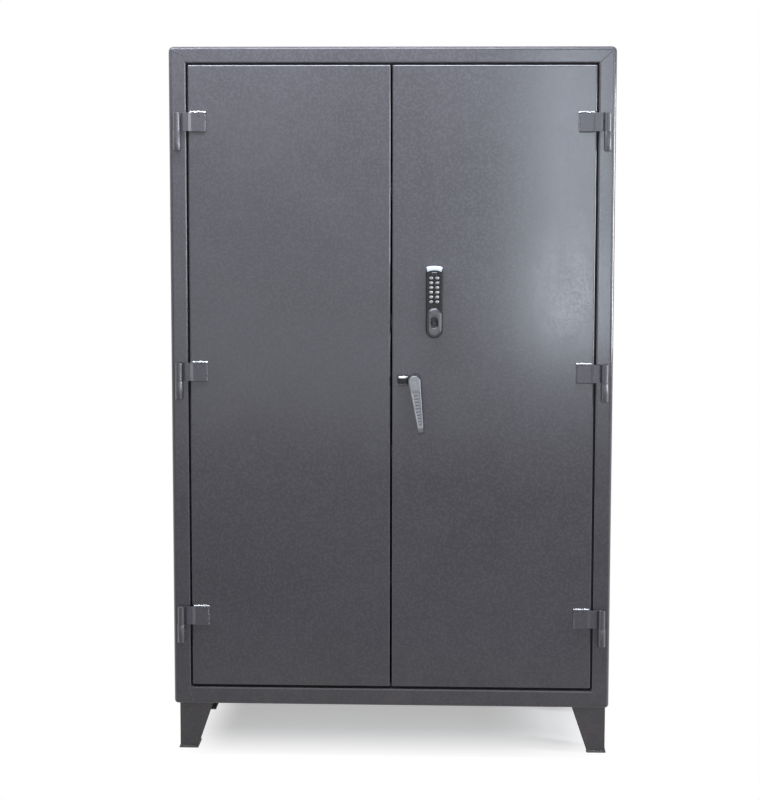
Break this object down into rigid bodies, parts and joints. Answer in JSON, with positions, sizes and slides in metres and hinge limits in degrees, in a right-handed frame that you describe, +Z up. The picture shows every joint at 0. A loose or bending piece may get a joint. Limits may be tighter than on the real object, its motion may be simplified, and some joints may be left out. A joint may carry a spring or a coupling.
{
  "type": "tool cabinet",
  "caption": "Heavy welded steel tool cabinet on legs, with hinged double doors, adjustable shelves, a lever handle that drives latch rods, a padlock staple and a keypad lock.",
  "frame": {"origin": "on the floor, at the centre of the four anchor holes in the foot plates, midway across the cabinet's width", "axes": "+X to the right as seen from the front, +Y to the back of the cabinet, +Z up; the doors face -Y"},
  "size_m": [1.2192, 0.6516, 1.9812],
  "materials": {
    "body_paint": "satin grey paint, finely textured",
    "door_paint": "satin grey paint, finely textured",
    "shelf_paint": "satin grey paint",
    "zinc_steel": "zinc-plated steel",
    "turned_steel": "bright turned steel",
    "bumper_rubber": "matte black",
    "handle_cast": "cast metal, satin",
    "staple_steel": "plated steel",
    "keypad_black": "black, finely grained",
    "keypad_cap": "satin chrome",
    "keypad_light": "smoked lenses and a bare plate",
    "knob_dark": "dark grey, satin",
    "lock_chrome": "polished chrome"
  },
  "bodies": {
    "body": {"side_panel_left": "body_paint", "side_panel_right": "body_paint", "top_panel": "body_paint", "bottom_panel": "body_paint", "back_panel": "body_paint", "door_stops": "body_paint", "leg_front_left": "body_paint", "leg_front_right": "body_paint", "leg_rear_left": "body_paint", "leg_rear_right": "body_paint", "foot_plates": "body_paint", "frame_knuckles": "body_paint", "shelf_1": "shelf_paint", "shelf_2": "shelf_paint", "shelf_3": "shelf_paint", "shelf_4": "shelf_paint", "shelf_standards": "zinc_steel", "shelf_clips": "zinc_steel", "stop_bumpers": "bumper_rubber", "hinge_pins": "turned_steel"},
    "left_door": {"door_left_panel": "door_paint", "door_left_stiffener": "door_paint", "door_left_strike": "zinc_steel", "hinge_straps_left": "door_paint"},
    "right_door": {"door_right_panel": "door_paint", "door_right_stiffener": "door_paint", "hinge_straps_right": "door_paint", "handle_bushing": "turned_steel", "bushing_nut": "zinc_steel", "padlock_staple": "staple_steel", "rod_guides": "zinc_steel", "keypad_housing": "keypad_black", "keypad_cap": "keypad_cap", "keypad_lights": "keypad_light", "keypad_inner_case": "keypad_black", "keypad_screws": "zinc_steel"},
    "handle": {"handle_lever": "handle_cast", "handle_spindle": "turned_steel", "latch_cam": "zinc_steel", "cam_pins": "zinc_steel"},
    "upper_rod": {"rod_upper": "zinc_steel", "rod_collar": "zinc_steel"},
    "lower_rod": {"rod_lower": "zinc_steel"},
    "lock_knob": {"keypad_knob": "knob_dark", "key_cylinder": "lock_chrome", "knob_spindle": "turned_steel", "blocking_cam": "zinc_steel"},
    "key_01_button": {"key_01": "lock_chrome"},
    "key_02_button": {"key_02": "lock_chrome"},
    "key_03_button": {"key_03": "lock_chrome"},
    "key_04_button": {"key_04": "lock_chrome"},
    "key_05_button": {"key_05": "lock_chrome"},
    "key_06_button": {"key_06": "lock_chrome"},
    "key_07_button": {"key_07": "lock_chrome"},
    "key_08_button": {"key_08": "lock_chrome"},
    "key_09_button": {"key_09": "lock_chrome"},
    "key_10_button": {"key_10": "lock_chrome"},
    "key_11_button": {"key_11": "lock_chrome"},
    "key_12_button": {"key_12": "lock_chrome"}
  },
  "joints": [
    {"name": "left_door_hinge", "type": "hinge", "parent": "body", "child": "left_door", "pos_m": [-0.5871, -0.3553, 1.0668], "axis": [0, 0, -1], "range_deg": [0, 180]},
    {"name": "right_door_hinge", "type": "hinge", "parent": "body", "child": "right_door", "pos_m": [0.5871, -0.3553, 1.0668], "axis": [0, 0, 1], "range_deg": [0, 180]},
    {"name": "handle_turn", "type": "hinge", "parent": "right_door", "child": "handle", "pos_m": [0.065, -0.3448, 1.0707], "axis": [0, -1, 0], "range_deg": [0, 90]},
    {"name": "upper_rod_slide", "type": "slide", "parent": "right_door", "child": "upper_rod", "axis": [0, 0, 1], "range_m": [0, 0.02268]},
    {"name": "lower_rod_slide", "type": "slide", "parent": "right_door", "child": "lower_rod", "axis": [0, 0, -1], "range_m": [0, 0.02268]},
    {"name": "lock_knob_turn", "type": "hinge", "parent": "right_door", "child": "lock_knob", "pos_m": [0.1185, -0.3448, 1.2325], "axis": [0, -1, 0], "range_deg": [0, 90]},
    {"name": "key_01_press", "type": "slide", "parent": "right_door", "child": "key_01_button", "axis": [0, 1, 0], "range_m": [0, 0.001], "stiffness_N_per_m": 400},
    {"name": "key_02_press", "type": "slide", "parent": "right_door", "child": "key_02_button", "axis": [0, 1, 0], "range_m": [0, 0.001], "stiffness_N_per_m": 400},
    {"name": "key_03_press", "type": "slide", "parent": "right_door", "child": "key_03_button", "axis": [0, 1, 0], "range_m": [0, 0.001], "stiffness_N_per_m": 400},
    {"name": "key_04_press", "type": "slide", "parent": "right_door", "child": "key_04_button", "axis": [0, 1, 0], "range_m": [0, 0.001], "stiffness_N_per_m": 400},
    {"name": "key_05_press", "type": "slide", "parent": "right_door", "child": "key_05_button", "axis": [0, 1, 0], "range_m": [0, 0.001], "stiffness_N_per_m": 400},
    {"name": "key_06_press", "type": "slide", "parent": "right_door", "child": "key_06_button", "axis": [0, 1, 0], "range_m": [0, 0.001], "stiffness_N_per_m": 400},
    {"name": "key_07_press", "type": "slide", "parent": "right_door", "child": "key_07_button", "axis": [0, 1, 0], "range_m": [0, 0.001], "stiffness_N_per_m": 400},
    {"name": "key_08_press", "type": "slide", "parent": "right_door", "child": "key_08_button", "axis": [0, 1, 0], "range_m": [0, 0.001], "stiffness_N_per_m": 400},
    {"name": "key_09_press", "type": "slide", "parent": "right_door", "child": "key_09_button", "axis": [0, 1, 0], "range_m": [0, 0.001], "stiffness_N_per_m": 400},
    {"name": "key_10_press", "type": "slide", "parent": "right_door", "child": "key_10_button", "axis": [0, 1, 0], "range_m": [0, 0.001], "stiffness_N_per_m": 400},
    {"name": "key_11_press", "type": "slide", "parent": "right_door", "child": "key_11_button", "axis": [0, 1, 0], "range_m": [0, 0.001], "stiffness_N_per_m": 400},
    {"name": "key_12_press", "type": "slide", "parent": "right_door", "child": "key_12_button", "axis": [0, 1, 0], "range_m": [0, 0.001], "stiffness_N_per_m": 400}
  ],
  "couplings": [
    {"joint": "upper_rod_slide", "follows": "handle_turn", "m_per_rad": 0.014405},
    {"joint": "lower_rod_slide", "follows": "handle_turn", "m_per_rad": 0.014405}
  ]
}
